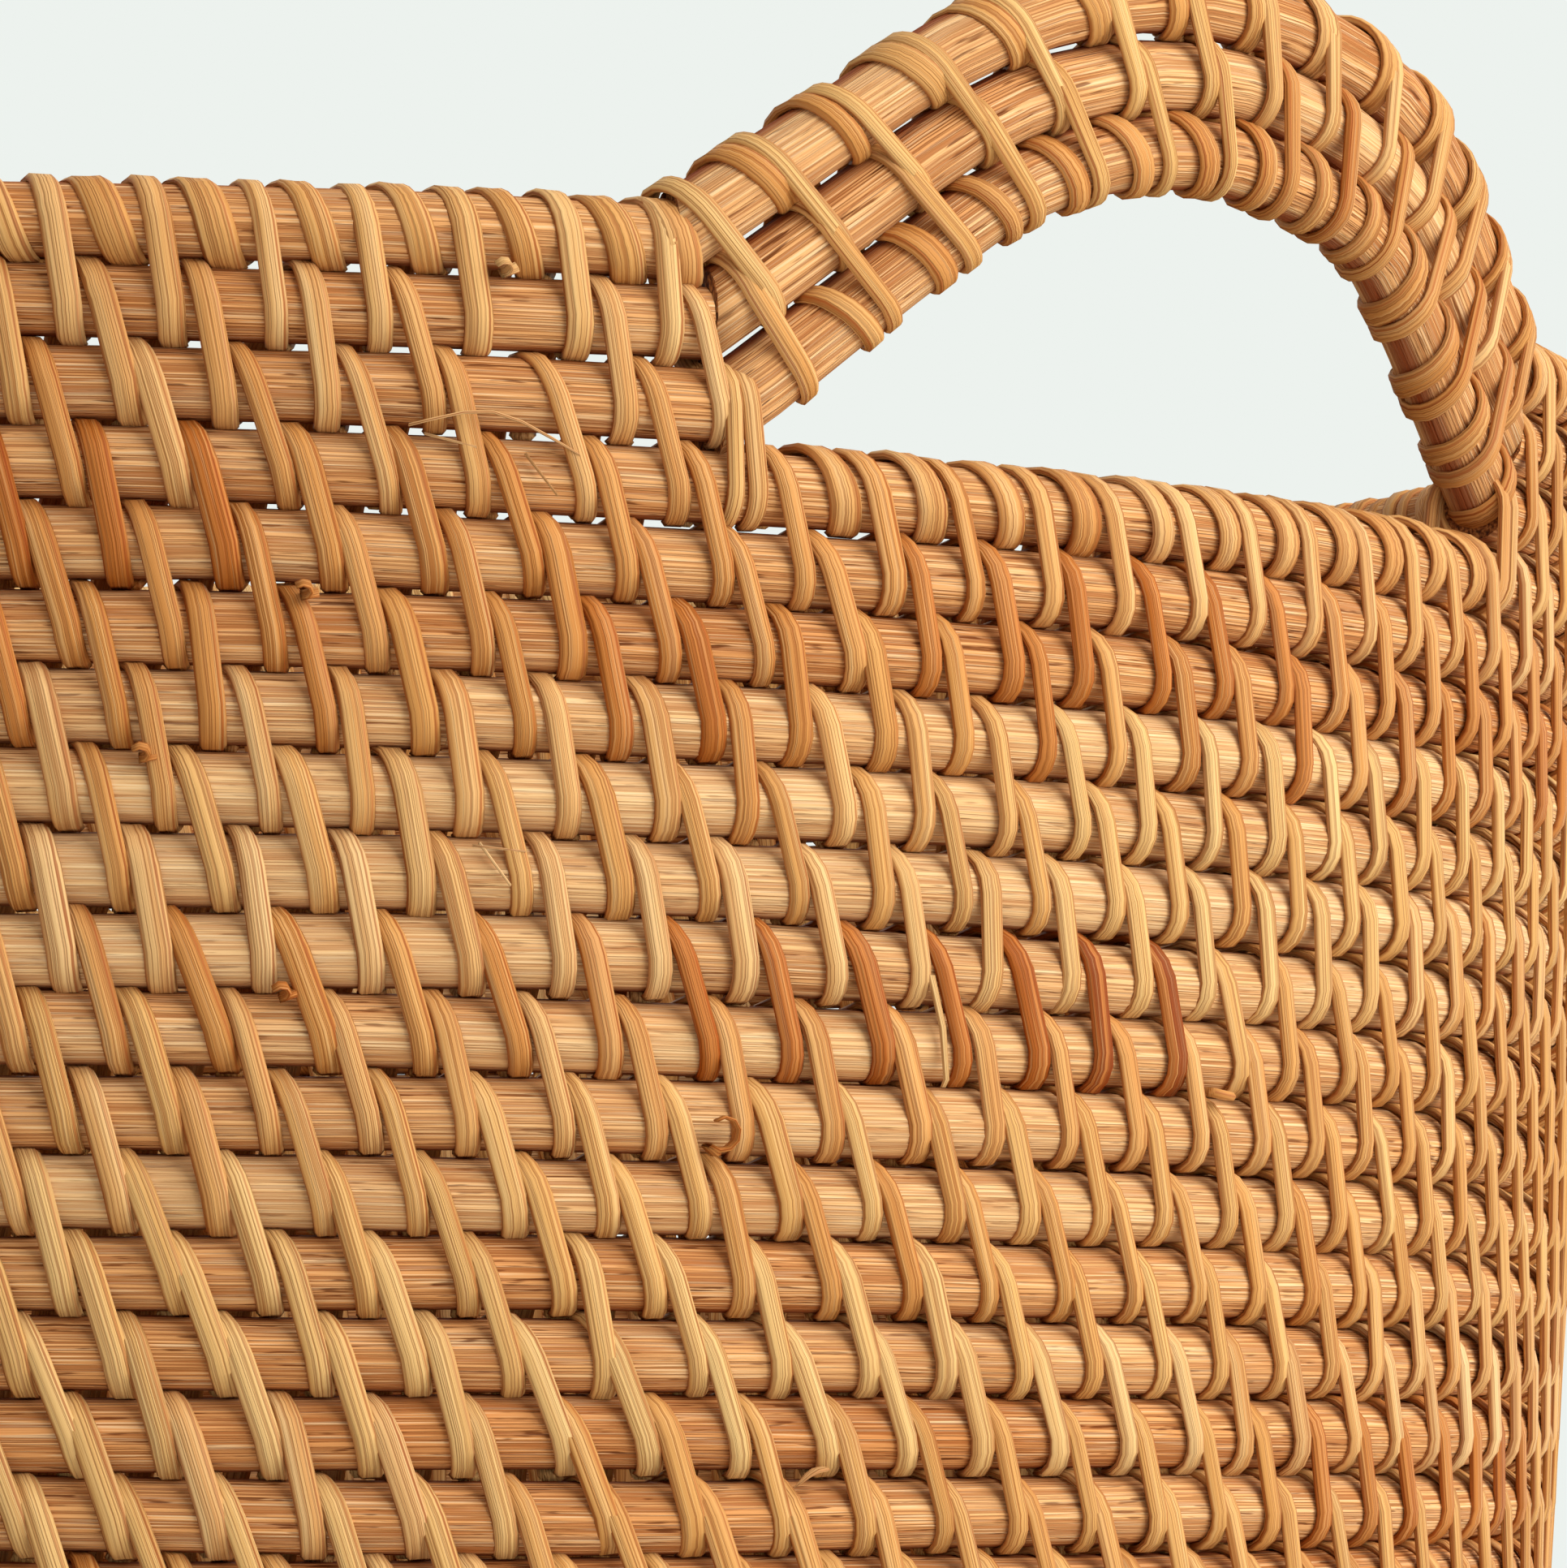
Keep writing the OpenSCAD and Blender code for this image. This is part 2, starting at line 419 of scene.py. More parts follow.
def surface(wire, constants, **links):
    """The shader and the material's output."""
    shader = wire.tree.nodes.new("ShaderNodeBsdfPrincipled")
    for name, value in constants.items():
        shader.inputs[name].default_value = value
    for name, value in links.items():
        wire.tree.links.new(value.socket, shader.inputs[name.replace("_", " ")])
    out = wire.tree.nodes.new("ShaderNodeOutputMaterial")
    wire.tree.links.new(shader.outputs[0], out.inputs[0])


def rod_surface(wire, grain, tone):
    """Scraped rattan: long fibres, dark grooves between them and pale torn ones.

    It has painted shade along the seams, where it lies against the next rod.
    """
    height = wire.node("ShaderNodeSeparateXYZ", None, {0: grain}, "Z")
    # Painted shade along the rod's top and bottom, where it lies against the next rod
    seam_shade = height.sum("ABSOLUTE", height).between(0.86 * ROD_R, 1.02 * ROD_R)
    groove = grain.noise(20, 1900, 1900).line(0.12)
    fine = grain.noise(70, 4200, 4200, 1.0)
    dash = grain.noise(130, 1700, 1700)
    streak = grain.noise(6, 480, 480)
    patch = grain.noise(9, 60, 60)
    rough = (tone * 0.5 + patch).between(0.55, 0.95)
    base = (tone * 0.7 + patch * 0.8 - 0.25).ramp(*ROD_COLOURS)
    base = (0.25 * streak.between(0.5, 0.66)).blend(base, ROD_STREAK)
    base = (0.25 * streak.between(0.46, 0.34)).blend(base, ROD_BLEACHED)
    base = (0.4 * fine.between(0.52, 0.66)).blend(base, ROD_FIBRE)
    base = (0.4 * fine.between(0.46, 0.34)).blend(base, TORN_FIBRE)
    base = (groove * (0.34 + 0.3 * rough)).blend(base, GROOVE)
    base = (dash.between(0.62, 0.7) * (0.3 + 0.5 * rough)).blend(base, DEEP_GROOVE)
    # Paints the shade between neighbouring rods
    base = (0.85 * seam_shade).blend(base, SEAM_SHADE)
    relief = fine * -0.3 - groove * (0.3 + 0.4 * rough) - dash.between(0.58, 0.7) * 0.4
    return base, 0.52 + 0.2 * fine, relief.bump(0.7, RELIEF)


def rattan_rod_finish():
    material, wire = finish_named("rattan_rod")
    grain = wire.attribute("grain", "Vector")
    base, roughness, normal = rod_surface(wire, grain, wire.attribute("tone", "Fac"))
    surface(wire, ROD_GLOSS, Base_Color=base, Roughness=roughness, Normal=normal)
    return material


def sawn_end_finish():
    """The end grain of a rod, dark with open pores."""
    material, wire = finish_named("sawn_rattan")
    grain = wire.attribute("grain", "Vector")
    pore = grain.noise(200, 1900, 1900)
    base = pore.ramp(*SAWN_COLOURS)
    normal = (1 - pore).bump(0.8, 1.5 * RELIEF)
    surface(wire, {"Roughness": 0.8, "Specular IOR Level": 0.2}, Base_Color=base, Normal=normal)
    return material


def split_cane_finish():
    """Flat strips of cane: a satin skin with fine veins along it, and painted shade at its edges."""
    material, wire = finish_named("split_cane")
    grain = wire.attribute("grain", "Vector")
    tone = wire.attribute("tone", "Fac")
    across = wire.node("ShaderNodeSeparateXYZ", None, {0: grain}, "Y")
    vein = grain.noise(5, 1800, 300, 1.0).line(0.085)
    fibre = grain.noise(34, 3800, 900, 2.0, 0.6)
    band = grain.noise(5, 560, 100, 1.0)
    patch = grain.noise(24, 120, 60)
    streak = grain.noise(18, 1250, 300, 1.0)
    base = (tone + 0.42 * patch - 0.21).ramp(*CANE_COLOURS)
    base = (0.35 * band.between(0.48, 0.64)).blend(base, CANE_BAND)
    pale = (0.4 - 0.35 * tone) * band.between(0.46, 0.34)
    base = pale.blend(base, CANE_PALE)
    golden = (0.5 - 0.6 * tone) * grain.noise(0.7, 0, 0, 0.0).between(0.42, 0.56)
    base = golden.blend(base, CANE_GOLDEN)
    dark = tone.between(0.58, 0.76)
    base = (0.6 * dark * streak.between(0.5, 0.6)).blend(base, CANE_STREAK)
    base = (0.5 * vein).blend(base, CANE_VEIN)
    base = (0.35 * fibre.between(0.52, 0.64)).blend(base, CANE_FIBRE)
    base = ((0.4 - 0.2 * tone) * fibre.between(0.46, 0.32)).blend(base, CANE_SHEEN)
    # Painted shade along both edges of each strip
    edge = across.sum("ABSOLUTE", across).between(0.4 * CANE_W, 0.52 * CANE_W)
    base = (0.65 * edge).blend(base, CANE_EDGE_SHADE)
    normal = (vein * -0.5 - fibre * 0.4 - band * 0.4).bump(0.5, RELIEF)
    roughness = 0.42 + 0.2 * fibre
    surface(wire, {"Specular IOR Level": 0.12}, Base_Color=base, Roughness=roughness, Normal=normal)
    return material


def coil_finish():
    """The base coil's rod, whose fibres run round the middle of the base.

    Each turn lies against the next one at half its height, and has painted shade there.
    """
    material, wire = finish_named("rattan_coil")
    place = wire.node("ShaderNodeTexCoord", output="Object")
    parts = [wire.node("ShaderNodeSeparateXYZ", None, {0: place}, name) for name in "XYZ"]
    out = parts[0].sum("SQRT", parts[0] * parts[0] + parts[1] * parts[1])
    height = parts[2] - CAD_ROD_R
    # Near half the height, side comes close to a rod's radius, which is where the seams' painted shade falls
    side = 1.1 * ROD_R - height.sum("ABSOLUTE", height)
    sockets = {"X": parts[0] * 0.35 + parts[1] * 0.2, "Y": out, "Z": side}
    grain = wire.node("ShaderNodeCombineXYZ", None, sockets)
    base, roughness, normal = rod_surface(wire, grain, grain.noise(3, 8, 8))
    surface(wire, ROD_GLOSS, Base_Color=base, Roughness=roughness, Normal=normal)
    return material


rod_finish = rattan_rod_finish()
sawn_finish = sawn_end_finish()
cane_finish = split_cane_finish()


# ---------- rods ----------

ROD_SIDES = 16
ROD_CUT = 8 * MM
WAVER = 1.3 * MM
SWELL = 0.35 * MM
# Each rod takes its bends, and its fibres, this many metres on from the last rod's
WAVER_APART = 2.7
GRAIN_APART = 3.1
# A face belongs to a sawn end where its normal lies along x by at least this much
SQUARE_ON = 0.95
waver_noise = bpy.data.textures.new("rod_waver", "CLOUDS")
waver_noise.cloud_type = "COLOR"
waver_noise.noise_scale = 0.07
waver_noise.noise_depth = 1
swell_noise = bpy.data.textures.new("rod_swell", "CLOUDS")
swell_noise.noise_scale = 0.025
swell_noise.noise_depth = 1
rods_made = []
# How dark the upper rods are, from the rim down. Those below are left to chance.
ROD_TONES = (0.7, 0.75, 0.78, 0.65, 0.65, 0.78, 0.4, 0.3, 0.15, 0.3, 0.5, 0.55, 0.4, 0.7, 0.7, 0.8, 0.7, 0.9)
HANDLE_TONE = 0.6


def rod_tone(course):
    """How dark the rod of a course is, from 0 to 1."""
    return ROD_TONES[course - 1] if course <= len(ROD_TONES) else chance.random()


def waver(piece):
    """Gives a straight rod the slight bends and swellings of a grown one."""
    apart = Matrix.Translation((WAVER_APART * len(rods_made), 0, 0))
    move(piece, apart)
    drift = piece.modifiers.new("drift", "DISPLACE")
    drift.texture = waver_noise
    drift.texture_coords = "LOCAL"
    drift.direction = "RGB_TO_XYZ"
    drift.mid_level = 0.5
    drift.strength = WAVER
    swell = piece.modifiers.new("swell", "DISPLACE")
    swell.texture = swell_noise
    swell.texture_coords = "LOCAL"
    swell.mid_level = 0.5
    swell.strength = SWELL
    settle(piece)
    return move(piece, apart.inverted())


def mark_ends(piece):
    """Gives the sawn ends of a rod that still lies along x the second finish."""
    for face in piece.data.polygons:
        face.material_index = int(abs(face.normal.x) > SQUARE_ON)


def cut_along(piece, cuts):
    """Cuts each lengthwise edge of a straight rod, and none of those that run round it."""
    bpy.ops.object.mode_set(mode="EDIT")
    bpy.ops.mesh.select_mode(type="EDGE")
    bpy.ops.mesh.select_all(action="DESELECT")
    bpy.ops.object.mode_set(mode="OBJECT")
    x = points(piece)[:, 0]
    for edge in piece.data.edges:
        edge.select = bool(abs(x[edge.vertices[0]] - x[edge.vertices[1]]) > ROD_CUT / 2)
    bpy.ops.object.mode_set(mode="EDIT")
    bpy.ops.mesh.subdivide(number_cuts=cuts)
    bpy.ops.object.mode_set(mode="OBJECT")


def straight_rod(name, length, tone, radius=ROD_R):
    """A straight rattan rod along x, which keeps where its fibres run when it is bent."""
    deselect()
    bpy.ops.mesh.primitive_cylinder_add(
        vertices=ROD_SIDES, radius=radius, depth=length, rotation=(0, pi / 2, 0)
    )
    piece = bpy.context.object
    piece.name = name
    piece.data.name = name
    bpy.ops.object.transform_apply(rotation=True)
    cuts = max(1, round((length / ROD_CUT) ** 0.5) - 1)
    cut_along(piece, cuts)
    cut_along(piece, cuts)
    bpy.ops.object.shade_smooth_by_angle(angle=radians(50))
    place = points(piece)
    place[:, 0] += GRAIN_APART * len(rods_made)
    write(piece, "grain", "FLOAT_VECTOR", place)
    write(piece, "tone", "FLOAT", np.full(len(place), tone))
    waver(piece)
    for finish in (rod_finish, sawn_finish):
        piece.data.materials.append(finish)
    mark_ends(piece)
    rods_made.append(name)
    return piece


def course_rod(name, course, angle, gap, turn):
    """A rod that runs round the wall by an angle, less a gap, at the height of its course."""
    h = course_h(course)
    piece = straight_rod(name, angle * wall_r(h) - gap, rod_tone(course))
    bend_round(piece, wall_r(h))
    return move(piece, Matrix.Rotation(turn, 4, "Z") @ Matrix.Translation((0, 0, wall_z(h))))


def hoop(name, course, turn):
    """A closed hoop, whose two sawn ends butt."""
    return course_rod(name, course, 2 * pi, END_GAP, turn)


def rim_rod(name, course, turn):
    """Half of a rim course, from handle to handle."""
    bare = 2 * foot_s(course - 1) / RIM_R
    return course_rod(name, course, pi - bare, 2 * END_GAP, turn)


def handle_rod(name, place, turn):
    """A bent rod, whose feet are sawn upright where the rim rods meet them."""
    length = 2 * (BEND_U + leg_length(place)) + 4 * ROD_R
    piece = straight_rod(name, length, HANDLE_TONE, HANDLE_ROD_R)
    move(piece, Matrix.Translation((0, 0, rod_offset(place))))
    arch(shape_by_hand(piece))
    for side in (-1, 1):
        take(piece)
        bpy.ops.object.mode_set(mode="EDIT")
        bpy.ops.mesh.select_all(action="SELECT")
        bpy.ops.mesh.bisect(
            plane_co=(side * (foot_s(place) + TUCK[place]), 0, 0),
            plane_no=(side, 0, 0),
            use_fill=True,
            clear_outer=True,
        )
        bpy.ops.object.mode_set(mode="OBJECT")
    mark_ends(piece)
    return round_handle(piece, turn)


# ---------- cane ----------

CANE_SIDES = 6
CANE_T = 1.15 * MM
# The middle of the cane lies this much further out than a rod's surface
CANE_SEAT = 0.36 * MM
# Width of the single wraps on the rim. Those on the handles are a little narrower.
WIDE_W = 4.1 * MM
# How the four side corners of a round section are drawn out, which leaves its edges round
FLATTEN = (1.1, 1.36, 1)
# A turn of cane makes this share of its advance in front of the rods
FRONT_SHARE = 0.43
# Shares of that advance, and of the one behind: round one rod, across the gap, round the other
FRONT_PARTS = (0.375, 0.4, 0.225)
BACK_PARTS = (0.32, 0.36, 0.32)
# Steps in a quarter turn of cane, behind the rods and in front of them
PLAIN = (2, 4)
FINE = (4, 6)
# How much turns of cane differ: in their points, width, share in front and height over the rod
CANE_WOBBLE = 0.07 * MM
WIDTH_SPREAD = 0.28
SHARE_SPREAD = 0.09
SEAT_SPREAD = 0.14 * MM
# A loose end's way goes on by this much in a turn of one radian
CURL_WAY = 1 * MM
# Lays a section as cane lies under the rods: its width along them, its thickness upwards
STANDING = Matrix(((0, 1, 0, 0), (0, 0, 1, 0), (1, 0, 0, 0), (0, 0, 0, 1)))


def winding_path(spacing, back, front, steps):
    """Steps of a cane's way round its rods: which rod it turns on, how far, and its advance."""
    low, high = -spacing / 2, spacing / 2
    behind, before = steps
    turn_back, turn_front = pi / 2 / behind, pi / 2 / before
    if not spacing:
        path = [(0, turn_back, 0, back / 2 / behind)] * (2 * behind)
        return path + [(0, turn_front, 0, front / 2 / before)] * (2 * before)
    path = [(low, turn_back, 0, BACK_PARTS[0] * back / behind)] * behind
    path += [(0, 0, spacing, BACK_PARTS[1] * back)]
    path += [(high, turn_back, 0, BACK_PARTS[2] * back / behind)] * behind
    path += [(high, turn_front, 0, FRONT_PARTS[0] * front / before)] * before
    path += [(0, 0, -spacing, FRONT_PARTS[1] * front)]
    path += [(low, turn_front, 0, FRONT_PARTS[2] * front / before)] * before
    return path


def flat_section(name, width, thickness):
    """The cut end of a strip of cane, flat on both sides with rounded edges."""
    deselect()
    bpy.ops.mesh.primitive_circle_add(vertices=CANE_SIDES, radius=0.5, fill_type="NGON")
    piece = bpy.context.object
    piece.name = name
    bpy.ops.object.mode_set(mode="EDIT")
    bpy.ops.mesh.select_mode(type="VERT")
    bpy.ops.mesh.select_all(action="DESELECT")
    bpy.ops.object.mode_set(mode="OBJECT")
    for vertex in piece.data.vertices:
        vertex.select = abs(vertex.co.x) > 0.1
    bpy.ops.object.mode_set(mode="EDIT")
    bpy.ops.transform.resize(value=FLATTEN)
    bpy.ops.object.mode_set(mode="OBJECT")
    return move(piece, Matrix.Diagonal((thickness, width, 1, 1)))


def start_at(piece, matrix):
    """Puts a flat section at the start of its way, ready to be drawn out."""
    section = points(piece).copy()
    move(piece, matrix)
    bpy.ops.object.mode_set(mode="EDIT")
    bpy.ops.mesh.select_mode(type="FACE")
    bpy.ops.mesh.select_all(action="SELECT")
    return section


def give_grain(piece, section, way):
    """Stores where each point lies along, across and through the strip.

    A wide or narrow strip counts its width as a plain one does, so that the painted shade at its edges falls
    alike.
    """
    grain = np.zeros((len(way) * CANE_SIDES, 3))
    grain[:, 0] = np.repeat(way, CANE_SIDES)
    grain[:, 1] = np.tile(section[:, 1] * CANE_W / np.ptp(section[:, 1]), len(way))
    grain[:, 2] = np.tile(section[:, 0], len(way))
    write(piece, "grain", "FLOAT_VECTOR", grain)
    return write(piece, "tone", "FLOAT", np.zeros(len(grain)))


def winding(name, spacing, width, advance, share=FRONT_SHARE, seat_r=ROD_R + CANE_SEAT, steps=PLAIN):
    """One turn of cane round a rod, or round two that lie spacing apart.

    It starts under the rods, goes up behind them and comes down in front.
    """
    back, front = (1 - share) * advance, share * advance
    path = winding_path(spacing, back, front, steps)
    slant = atan2(advance, 2 * (spacing + pi * seat_r))
    middle_x = back + front * (FRONT_PARTS[0] + FRONT_PARTS[1] / 2 if spacing else 0.5)
    piece = flat_section(name, width, CANE_T)
    start = Matrix.Translation((-middle_x, 0, -spacing / 2 - seat_r))
    section = start_at(piece, start @ STANDING @ Matrix.Rotation(-slant, 4, "X"))
    way = [0.0]
    for rod_z, turn, rise, ahead in path:
        bpy.ops.mesh.extrude_region_move(TRANSFORM_OT_translate={"value": (ahead, 0, rise)})
        if turn:
            bpy.ops.transform.rotate(value=-turn, orient_axis="X", center_override=(0, 0, rod_z))
        way.append(way[-1] + turn * seat_r + abs(rise))
    bpy.ops.mesh.select_all(action="SELECT")
    # The number of objects so far gives each turn its own seed
    bpy.ops.transform.vertex_random(offset=CANE_WOBBLE, seed=len(bpy.data.objects) % 97)
    bpy.ops.object.mode_set(mode="OBJECT")
    bpy.ops.object.shade_smooth()
    return give_grain(piece, section, way)


def samples(name, spacing, width, advance, steps=PLAIN, rod_r=ROD_R, count=6):
    """A few turns of cane that differ a little, to be copied."""
    made = []
    for number in range(count):
        spread = (number + 0.5) / count - 0.5
        wide = width * (1 + WIDTH_SPREAD * spread)
        share = FRONT_SHARE + SHARE_SPREAD * chance.uniform(-1, 1)
        seat_r = rod_r + CANE_SEAT + SEAT_SPREAD * chance.random()
        made.append(winding(f"{name}_{number}", spacing, wide, advance, share, seat_r, steps))
    return made


def loose_end(name, width, thickness, facing, steps):
    """A loose end of cane, drawn out step by step.

    Each step is a move, then a turn about the y axis round a point, and a narrowing.
    """
    piece = flat_section(name, width, thickness)
    section = start_at(piece, facing)
    way = [0.0]
    for ahead, turn, about, narrower in steps:
        bpy.ops.mesh.extrude_region_move(TRANSFORM_OT_translate={"value": ahead})
        if turn:
            bpy.ops.transform.rotate(value=-turn, orient_axis="Y", center_override=about)
        if narrower != 1:
            bpy.ops.transform.resize(value=(narrower, narrower, narrower))
        way.append(way[-1] + hypot(*ahead) + abs(turn) * CURL_WAY)
    bpy.ops.object.mode_set(mode="OBJECT")
    bpy.ops.object.shade_smooth()
    return give_grain(piece, section, way)


def onward(x, y, z, narrower=1.0):
    """A step of a loose end that goes on by so many millimetres."""
    return (x * MM, y * MM, z * MM), 0, None, narrower


def curling(y, angle, about, narrower, x=0.0):
    """A step of a loose end that curls up by an angle, in degrees, round a point."""
    return (x * MM, y * MM, 0), -radians(angle), about, narrower


def lay(name, kinds, spots):
    """Copies turns of cane to their spots, as one piece of work.

    A spot is a matrix, a tone, where along its strip the cane comes from, and its own kind, or
    None for any. One without a matrix stays bare.
    """
    laid = []
    for matrix, tone, along, kind in spots:
        if kind is None:
            kind = kinds[chance.integers(len(kinds))]
        if matrix is None:
            continue
        copy = bpy.data.objects.new(name, kind.data.copy())
        bpy.context.scene.collection.objects.link(copy)
        move(copy, matrix)
        count = len(copy.data.vertices)
        grain = np.empty(count * 3)
        copy.data.attributes["grain"].data.foreach_get("vector", grain)
        grain = grain.reshape(-1, 3) + (along, 0, VEIN_DRIFT * along)
        write(copy, "grain", "FLOAT_VECTOR", grain)
        write(copy, "tone", "FLOAT", np.full(count, tone))
        laid.append(copy)
    return join(name, laid)


# How dark strips of cane are, and the odds of each
TONES = (0.18, 0.3, 0.37, 0.43, 0.5, 0.6)
TONE_ODDS = (0.1, 0.24, 0.28, 0.22, 0.12, 0.04)
# How much stitches from one strip differ in tone
TONE_SPREAD = 0.06
# Fewest stitches in a strip, and one more than the most
STRIP_STITCHES = (7, 34)
# The cane that all strips are cut from, and what a stitch takes of it, in metres
CANE_STOCK = 9
STITCH_CANE = 0.05
# Veins drift through a strip by this share of the way along it
VEIN_DRIFT = 0.3
# How much a stitch slips along its row and up or down, and how much it turns
SLIP_ALONG = 0.28 * MM
SLIP_UP = 0.08 * MM
SLIP_TURN = radians(1.6)


def within(value):
    """A tone, kept from 0 to 1."""
    return min(1.0, max(0.0, value))


def strips(count):
    """Tone and place along the strip for each stitch of a row.

    One strip lasts for some stitches, then the next is let in.
    """
    made = []
    while len(made) < count:
        tone = float(chance.choice(TONES, p=TONE_ODDS))
        start = CANE_STOCK * chance.random()
        for number in range(int(chance.integers(*STRIP_STITCHES))):
            own = within(tone + chance.normal(0, TONE_SPREAD))
            made.append((own, start + STITCH_CANE * number))
    return made[:count]


def jog(x, z=0.0):
    """A spot on a straight row, with the small slips of handwork."""
    slip = Matrix.Translation((x + chance.normal(0, SLIP_ALONG), 0, z + chance.normal(0, SLIP_UP)))
    return slip @ Matrix.Rotation(chance.normal(0, SLIP_TURN), 4, "Y")


def leaned(share):
    """Leans a turn of cane by this share of its height, without lifting it."""
    matrix = Matrix.Identity(4)
    matrix[0][2] = share
    return matrix


# ---------- loose ends ----------

FACING_LEFT = Matrix.Rotation(-pi / 2, 4, "Y")
FACING_RIGHT = FACING_LEFT.inverted()
FACING_DOWN = Matrix.Rotation(pi, 4, "X") @ Matrix.Rotation(pi / 2, 4, "Z")
# The radius of a curl, where along its strip it turns, and how the small one is tipped
CURL_R = 1.1 * MM
CURL_X = -2.0 * MM
CURL_TIP = Matrix.Rotation(radians(35), 4, "X")
# Loose ends stand this far out from a rod's middle
OUT = ROD_R + 0.5 * MM


def make_loose_ends():
    """One of each kind of loose end, by name."""
    curl_steps = [onward(-1.0, 0, -0.3)] * 2
    curl_steps += [curling(-0.15, 45, (CURL_X, 0, CURL_R - 0.6 * MM), 0.93)] * 5
    big_curl_steps = [onward(-0.9, -0.2, -0.2)] * 2
    big_curl_steps += [curling(-0.3, 38, (CURL_X, 0, 1.6 * CURL_R), 0.9, x=-0.1)] * 7
    leaf_steps = [
        onward(-1.4, -0.3, -0.2),
        onward(-1.2, -0.5, -0.5, 0.8),
        onward(-1.1, -0.4, -0.7, 0.6),
        onward(-1.0, -0.1, -0.7, 0.3),
    ]
    sliver_steps = [onward(0.55, -0.15, -2.1, 0.97)] * 3
    sliver_steps += [onward(0.35, 0.1, -2.1, 0.95)] * 3
    sliver_steps += [onward(0.1, 0.8, -1.0, 0.9)]
    long_fibre_steps = [
        onward(2.5, -1.0, 0.7),
        onward(3.5, -0.8, 0.9),
        onward(3.5, 0, 0.2),
        onward(3.5, 0.2, -1.0),
        onward(4.0, 0.6, -1.8, 0.9),
        onward(3.5, 0.6, -1.7, 0.7),
    ]
    made = [
        loose_end("curl", 2.2 * MM, 0.6 * MM, FACING_LEFT, curl_steps),
        loose_end("big_curl", 2.8 * MM, 0.7 * MM, FACING_LEFT, big_curl_steps),
        loose_end("leaf", 2.6 * MM, 0.5 * MM, FACING_LEFT, leaf_steps),
        loose_end("stub", 2.4 * MM, 1.1 * MM, FACING_LEFT, [onward(1.6, -0.3, -0.25)] * 2),
        loose_end("sliver", 1.1 * MM, 0.6 * MM, FACING_DOWN, sliver_steps),
        loose_end("long_fibre", 0.55 * MM, 0.4 * MM, FACING_RIGHT, long_fibre_steps),
        loose_end("short_fibre", 0.5 * MM, 0.35 * MM, FACING_RIGHT, [onward(2.0, -0.12, -0.6, 0.9)] * 3),
    ]
    ends = {end.name: end for end in made}
    move(ends["curl"], CURL_TIP)
    return ends


# Each loose end: its course and share of the way to the next, azimuth in degrees, kind, tilt in
# degrees and tone
LOOSE_ENDS = (
    (1.44, -26.6, "curl", 10, 0.1),
    (5.56, -32.6, "curl", 0, 0.6),
    (7.6, -37.5, "curl", 0, 0.6),
    (10.5, -33.1, "curl", 8, 0.66),
    (12.45, -19.2, "big_curl", -50, 0.6),
    (16.4, -14.9, "leaf", 0, 0.1),
    (11.45, 0.9, "stub", 0, 0.5),
    (10.1, -11.5, "sliver", 0, 0.1),
    (3.46, -29.9, "long_fibre", 0, 0.0),
    (3.56, -29.4, "short_fibre", 4, 0.0),
    (3.76, -26.2, "short_fibre", -34, 0.0),
    (8.66, -27.6, "short_fibre", 12, 0.0),
    (8.62, -27.4, "short_fibre", -36, 0.0),
)


# ---------- how the wall's cane is laid ----------

pieces = {}
doubles = samples("double", PITCH, CANE_W, STITCH_L)
rim_doubles = samples("rim_double", PITCH, CANE_W, STITCH_L, FINE)
singles = samples("single", 0, WIDE_W, STITCH_L, FINE)
narrow_doubles = samples("narrow", PITCH, 0.8 * CANE_W, 0.4 * STITCH_L, FINE, count=2)
loose_kinds = make_loose_ends()
# The side that faces the camera
FRONT_A = radians(-40.05)
# A stitch of this row ends its way down at this azimuth, and each row below that one is
# shifted on by a share of a stitch
MARK_ROW = 8
MARK_A = FRONT_A + 0.0299
ROW_SHIFT = 0.5
# Rows of single wraps count as these rows when they are shifted
RIM_BINDING_ROW = -0.06
HAND_HOLE_ROW = WHOLE - 0.96
WALL_BANDS = ("upper", "middle", "lower")
BAND_ROWS = 9
# Rows lashed with darker or paler strips: from and to azimuth in degrees, and tone
CHOSEN_STRIPS = {
    HAND_HOLE_ROW: ((-180, 180, 0.22),),
    4: ((-44, -34, 0.78), (-34, -10, 0.54)),
    5: ((-14, 6, 0.64),),
    6: ((-25, -17, 0.64),),
    10: ((-20.6, -7, 0.78), (-7, 0.6, 0.95)),
    11: ((-80, -30, 0.28),),
    12: ((-80, -30, 0.34),),
    13: ((-80, -20, 0.22),),
    14: ((-80, -10, 0.2),),
    15: ((-80, -15, 0.16),),
    16: ((-80, -25, 0.2), (8, 30, 0.7)),
    17: ((-80, -30, 0.24),),
}
# A chosen tone keeps this share of each strip's own difference from the usual tone
OWN_SHARE = 0.5
USUAL_TONE = 0.35
# Tone of a stitch that is added to a row
ADDED_TONE = 0.3
# Azimuths in degrees at which a row lacks a stitch
BARE_SPOTS = {2: (-26.4,)}
# Rows drawn up steeper or flatter than the others, which lean by chance
ROW_LEAN = {1: 0.05, 3: -0.1, 10: -0.09, 12: -0.06, 13: -0.1, 14: -0.08, 15: -0.12, 16: -0.08, 17: -0.11}
LEAN_SPREAD = 0.03
# A stitch crosses the middle of its upper rod this much before it crosses the gap
STITCH_SETBACK = 1.3 * MM
# Each hoop's joint lies about this far on from the last one's
JOINT_STEP = radians(137.5)


def row_azimuths(row):
    """Azimuths at which the cane of a row crosses between its two rods."""
    first = MARK_A + (row - MARK_ROW) * ROW_SHIFT * STITCH_A - FRONT_SHARE / 2 * STITCH_A
    return [first + n * STITCH_A for n in range(STITCHES)]


def off_handle(azimuth):
    """Angle from the middle of the nearer handle."""
    return abs((azimuth + pi / 2) % pi - pi / 2)


def on_front(azimuth):
    """Angle from the front, between half a turn back and half a turn on."""
    return (azimuth + pi / 2 + pi) % (2 * pi) - pi


